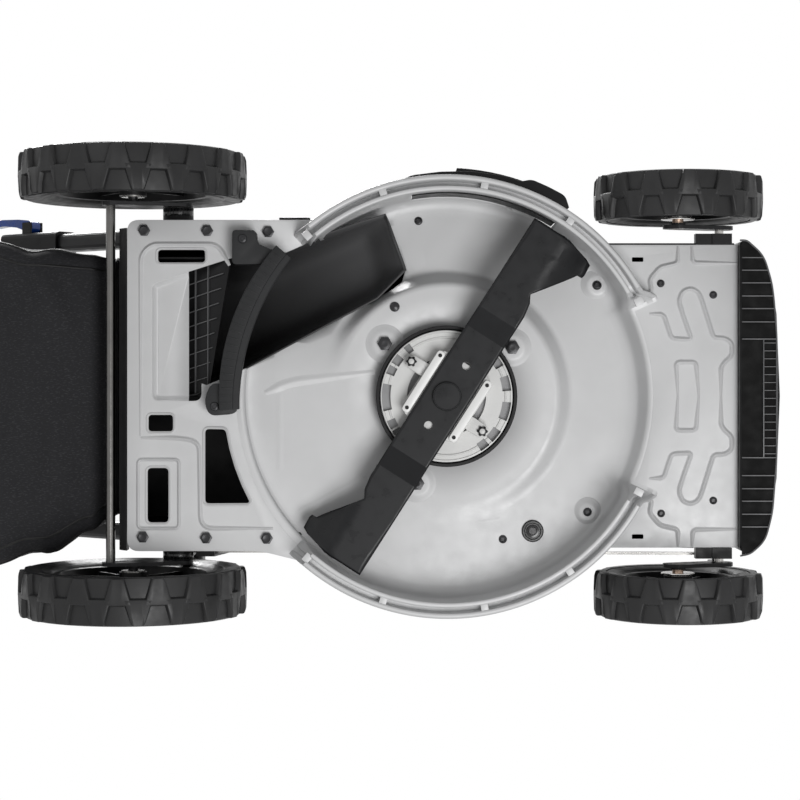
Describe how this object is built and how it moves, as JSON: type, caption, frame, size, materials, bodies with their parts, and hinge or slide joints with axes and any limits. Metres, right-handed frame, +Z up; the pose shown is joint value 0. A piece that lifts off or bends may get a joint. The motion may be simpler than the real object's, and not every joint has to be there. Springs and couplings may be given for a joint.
{
  "type": "cordless lawn mower",
  "caption": "Walk-behind cordless rotary mower: pressed steel deck, blade on a motor under a hood, swing axles with a height lever, folding handle and rear grass bag.",
  "frame": {"origin": "on the ground in the middle of the whole machine's length and width, bag and handle included", "axes": "+X is the way the mower travels, +Y its left side, +Z up"},
  "size_m": [1.6818, 0.568, 1.0356],
  "materials": {
    "deck_paint": "satin light grey paint on pressed steel, faint scuffs",
    "black_plastic": "fine-grained black polypropylene",
    "grey_plastic": "charcoal moulded plastic, light grain",
    "white_plastic": "natural white moulded plastic",
    "blue_plastic": "glossy royal blue plastic",
    "tyre_rubber": "black satin tyre, ribbed tread and ringed sidewalls",
    "rubber_black": "soft black rubber",
    "bare_steel": "zinc-plated drawn steel",
    "black_steel": "black powder coat on steel",
    "blade_steel": "charcoal coated blade with ground cutting edges",
    "bag_fabric": "dark charcoal woven polyester"
  },
  "bodies": {
    "deck": {"deck_shell": "deck_paint", "discharge_duct": "black_plastic", "chute_guard": "grey_plastic", "side_door_pin": "black_steel", "motor_housing": "grey_plastic", "motor_ring": "black_plastic", "motor_cover": "black_plastic", "battery_tray": "grey_plastic", "front_bumper": "black_plastic", "rear_housing": "black_plastic", "rear_door_rod": "bare_steel", "front_bracket_left": "black_plastic", "front_bracket_right": "black_plastic", "rear_bracket_left": "black_plastic", "rear_bracket_right": "black_plastic", "height_sector": "black_steel", "handle_bracket_left": "black_steel", "handle_bracket_right": "black_steel", "deck_grommet": "rubber_black"},
    "side_door": {"side_door": "black_plastic"},
    "blade_group": {"blade": "blade_steel", "motor_shaft": "bare_steel", "fan_disc": "white_plastic", "blade_carrier": "white_plastic", "blade_bolt": "black_steel"},
    "battery_lid": {"battery_lid": "black_plastic"},
    "battery": {"battery_pack": "grey_plastic"},
    "rear_door": {"rear_door": "black_plastic"},
    "rear_axle": {"rear_arm_left": "black_steel", "rear_arm_right": "black_steel", "tie_rod": "bare_steel", "height_lever": "black_steel", "height_lever_grip": "black_plastic"},
    "front_axle": {"front_arm_left": "black_steel", "front_arm_right": "black_steel", "front_pivot_rod": "bare_steel"},
    "link": {"link_rod": "bare_steel"},
    "rear_wheel_left": {"rear_wheel_left_tyre": "tyre_rubber", "rear_wheel_left_hub": "black_plastic"},
    "rear_wheel_right": {"rear_wheel_right_tyre": "tyre_rubber", "rear_wheel_right_hub": "black_plastic"},
    "front_wheel_left": {"front_wheel_left_tyre": "tyre_rubber", "front_wheel_left_hub": "black_plastic"},
    "front_wheel_right": {"front_wheel_right_tyre": "tyre_rubber", "front_wheel_right_hub": "black_plastic"},
    "lower_handle": {"lower_tube_left": "black_steel", "lower_tube_right": "black_steel", "cam_collar_left": "black_plastic", "cam_collar_right": "black_plastic"},
    "cam_left": {"cam_lever_left": "blue_plastic"},
    "cam_right": {"cam_lever_right": "blue_plastic"},
    "upper_handle": {"upper_handle": "black_steel", "handle_grip": "rubber_black", "switch_box": "black_plastic"},
    "button": {"start_button": "blue_plastic"},
    "bail": {"bail_bar": "black_steel"},
    "bag": {"bag_fabric": "bag_fabric", "bag_frame": "black_steel", "bag_lid": "black_plastic"}
  },
  "joints": [
    {"name": "blade_spin", "type": "hinge", "parent": "deck", "child": "blade_group", "pos_m": [0.4359, 0.015, 0.082], "axis": [0, 0, 1], "continuous": true},
    {"name": "side_door_swing", "type": "hinge", "parent": "deck", "child": "side_door", "pos_m": [0.4878, -0.252, 0.12], "axis": [-0.9816, -0.1908, 0], "range_deg": [0, 60], "stiffness_Nm_per_rad": 0.3, "springref_deg": -22.92},
    {"name": "battery_lid_swing", "type": "hinge", "parent": "deck", "child": "battery_lid", "pos_m": [0.5339, 0.014, 0.2982], "axis": [0, -1, 0], "range_deg": [0, 80]},
    {"name": "battery_lift", "type": "slide", "parent": "deck", "child": "battery", "axis": [0, 0, 1], "range_m": [0, 0.02]},
    {"name": "rear_door_swing", "type": "hinge", "parent": "deck", "child": "rear_door", "pos_m": [0.0244, 0.003, 0.284], "axis": [0, 1, 0], "range_deg": [0, 55], "stiffness_Nm_per_rad": 0.4, "springref_deg": -22.92},
    {"name": "rear_axle_swing", "type": "hinge", "parent": "deck", "child": "rear_axle", "pos_m": [0.1034, 0, 0.162], "axis": [0, 1, 0], "range_deg": [-30, 18]},
    {"name": "front_axle_swing", "type": "hinge", "parent": "deck", "child": "front_axle", "pos_m": [0.7704, 0.015, 0.124], "axis": [0, 1, 0], "range_deg": [-30, 18]},
    {"name": "link_turn", "type": "hinge", "parent": "rear_axle", "child": "link", "pos_m": [0.1034, 0.2105, 0.192], "axis": [0, 1, 0], "range_deg": [-18, 30]},
    {"name": "rear_wheel_left_spin", "type": "hinge", "parent": "rear_axle", "child": "rear_wheel_left", "pos_m": [0.0499, 0.255, 0.14], "axis": [0, 1, 0], "continuous": true},
    {"name": "rear_wheel_right_spin", "type": "hinge", "parent": "rear_axle", "child": "rear_wheel_right", "pos_m": [0.0499, -0.255, 0.14], "axis": [0, 1, 0], "continuous": true},
    {"name": "front_wheel_left_spin", "type": "hinge", "parent": "front_axle", "child": "front_wheel_left", "pos_m": [0.7169, 0.2545, 0.102], "axis": [0, 1, 0], "continuous": true},
    {"name": "front_wheel_right_spin", "type": "hinge", "parent": "front_axle", "child": "front_wheel_right", "pos_m": [0.7169, -0.2245, 0.102], "axis": [0, 1, 0], "continuous": true},
    {"name": "handle_fold", "type": "hinge", "parent": "deck", "child": "lower_handle", "pos_m": [0.0409, 0.0025, 0.312], "axis": [0, 1, 0], "range_deg": [0, 136]},
    {"name": "handle_extend", "type": "slide", "parent": "lower_handle", "child": "upper_handle", "axis": [-0.788, 0, 0.6157], "range_m": [-0.16, 0]},
    {"name": "cam_left_swing", "type": "hinge", "parent": "lower_handle", "child": "cam_left", "pos_m": [-0.13089, 0.2215, 0.44621], "axis": [-0.6157, 0, -0.788], "range_deg": [0, 100]},
    {"name": "cam_right_swing", "type": "hinge", "parent": "lower_handle", "child": "cam_right", "pos_m": [-0.13089, -0.2165, 0.44621], "axis": [0.6157, 0, 0.788], "range_deg": [0, 100]},
    {"name": "start_button_press", "type": "slide", "parent": "upper_handle", "child": "button", "axis": [-0.6157, 0, -0.788], "range_m": [0, 0.004], "stiffness_N_per_m": 300},
    {"name": "bail_swing", "type": "hinge", "parent": "upper_handle", "child": "bail", "pos_m": [-0.73135, 0.0025, 0.91534], "axis": [0, -1, 0], "range_deg": [0, 30], "stiffness_Nm_per_rad": 1.5, "springref_deg": -28.65},
    {"name": "bag_unhook", "type": "slide", "parent": "deck", "child": "bag", "axis": [-1, 0, 0], "range_m": [0, 0.1]}
  ],
  "couplings": [
    {"joint": "front_axle_swing", "follows": "rear_axle_swing", "ratio": 1},
    {"joint": "link_turn", "follows": "rear_axle_swing", "ratio": -1}
  ]
}
